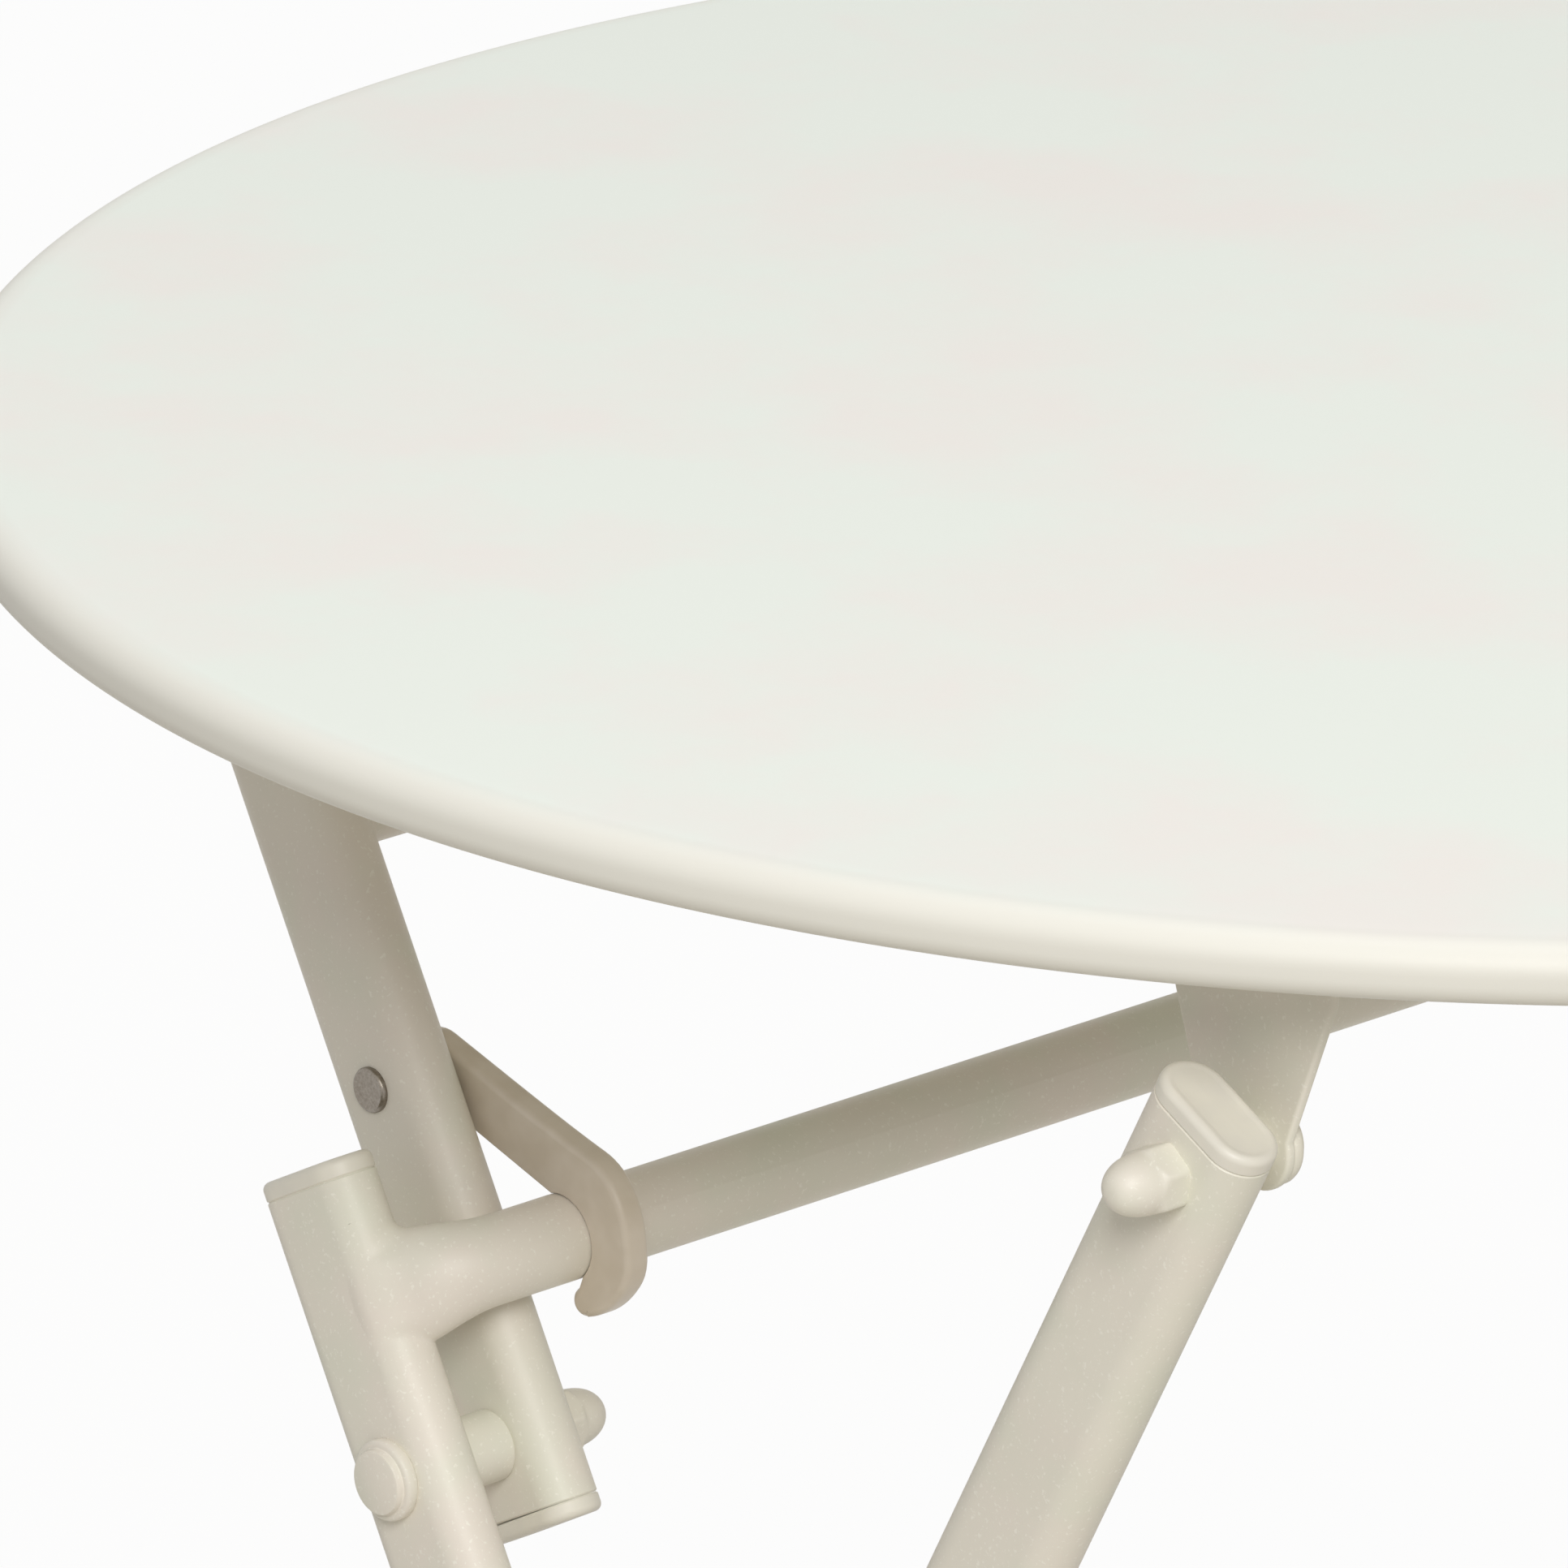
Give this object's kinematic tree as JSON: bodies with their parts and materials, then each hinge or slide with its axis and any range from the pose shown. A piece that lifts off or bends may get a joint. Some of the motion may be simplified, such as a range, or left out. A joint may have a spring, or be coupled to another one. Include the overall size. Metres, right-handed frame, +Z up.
{
  "type": "folding table",
  "caption": "Round metal folding table with scissor legs, link arms under the top and a hook latch that locks the fold.",
  "frame": {"origin": "on the floor under the middle of the round top", "axes": "+Z up, +Y along the hinge axes away from the side with the latch hook, +X towards the side that the outer legs' tops lean to"},
  "size_m": [0.6999, 0.7, 0.74],
  "materials": {
    "top_paint": "satin powder coat, fine grain",
    "frame_paint": "satin powder coat, fine grain",
    "cap_plastic": "moulded, colour-matched",
    "hook_plastic": "moulded, satin",
    "bare_steel": "bare stainless"
  },
  "bodies": {
    "outer_legs": {"outer_leg_near": "frame_paint", "outer_leg_far": "frame_paint", "outer_cap_near": "cap_plastic", "outer_cap_far": "cap_plastic", "outer_foot_near": "cap_plastic", "outer_foot_far": "cap_plastic", "outer_low_bar": "frame_paint", "outer_bar_collars": "frame_paint", "hinge_bolts": "frame_paint", "hinge_nuts": "frame_paint", "hinge_spacers": "cap_plastic", "cross_bolts": "frame_paint", "cross_nuts": "frame_paint", "cross_spacers": "cap_plastic"},
    "inner_legs": {"inner_leg_near": "frame_paint", "inner_leg_far": "frame_paint", "inner_cap_near": "cap_plastic", "inner_cap_far": "cap_plastic", "inner_foot_near": "cap_plastic", "inner_foot_far": "cap_plastic", "inner_low_bar": "frame_paint", "latch_bar": "frame_paint", "latch_bar_collar_near": "frame_paint", "latch_bar_collar_far": "frame_paint", "elbow_buttons": "frame_paint", "elbow_rings": "frame_paint", "elbow_bolts": "bare_steel", "elbow_spacers": "frame_paint", "elbow_nuts": "frame_paint"},
    "link_frame": {"link_arm_near": "frame_paint", "link_arm_far": "frame_paint", "arm_low_cap_near": "cap_plastic", "arm_low_cap_far": "cap_plastic", "arm_top_caps": "cap_plastic", "arm_bar": "frame_paint", "link_pins": "frame_paint", "latch_rivet": "bare_steel", "latch_washer": "cap_plastic"},
    "tabletop": {"top_sheet": "top_paint", "rail_near": "frame_paint", "rail_far": "frame_paint", "rail_plugs": "cap_plastic", "leg_bracket_near": "frame_paint", "leg_bracket_far": "frame_paint", "hinge_heads": "frame_paint", "link_bracket_near": "frame_paint", "link_bracket_far": "frame_paint"},
    "latch": {"latch_hook": "hook_plastic"}
  },
  "joints": [
    {"name": "legs_fold", "type": "hinge", "parent": "outer_legs", "child": "inner_legs", "pos_m": [0, 0, 0.37], "axis": [0, 1, 0], "range_deg": [0, 52.99], "deforming": ["latch_hook"]},
    {"name": "top_tilt", "type": "hinge", "parent": "link_frame", "child": "tabletop", "pos_m": [-0.17149, 0, 0.68967], "axis": [0, 1, 0], "range_deg": [0, 56.51]},
    {"name": "arms_swing", "type": "hinge", "parent": "inner_legs", "child": "link_frame", "pos_m": [-0.08902, 0, 0.53594], "axis": [0, -1, 0], "range_deg": [0, 165.13]},
    {"name": "latch_swing", "type": "hinge", "parent": "link_frame", "child": "latch", "pos_m": [-0.12651, -0.214, 0.60582], "axis": [0, -1, 0], "range_deg": [0, 22]}
  ],
  "couplings": [
    {"joint": "top_tilt", "follows": "legs_fold", "ratio": 1.0664},
    {"joint": "arms_swing", "follows": "legs_fold", "ratio": 3.1162}
  ]
}
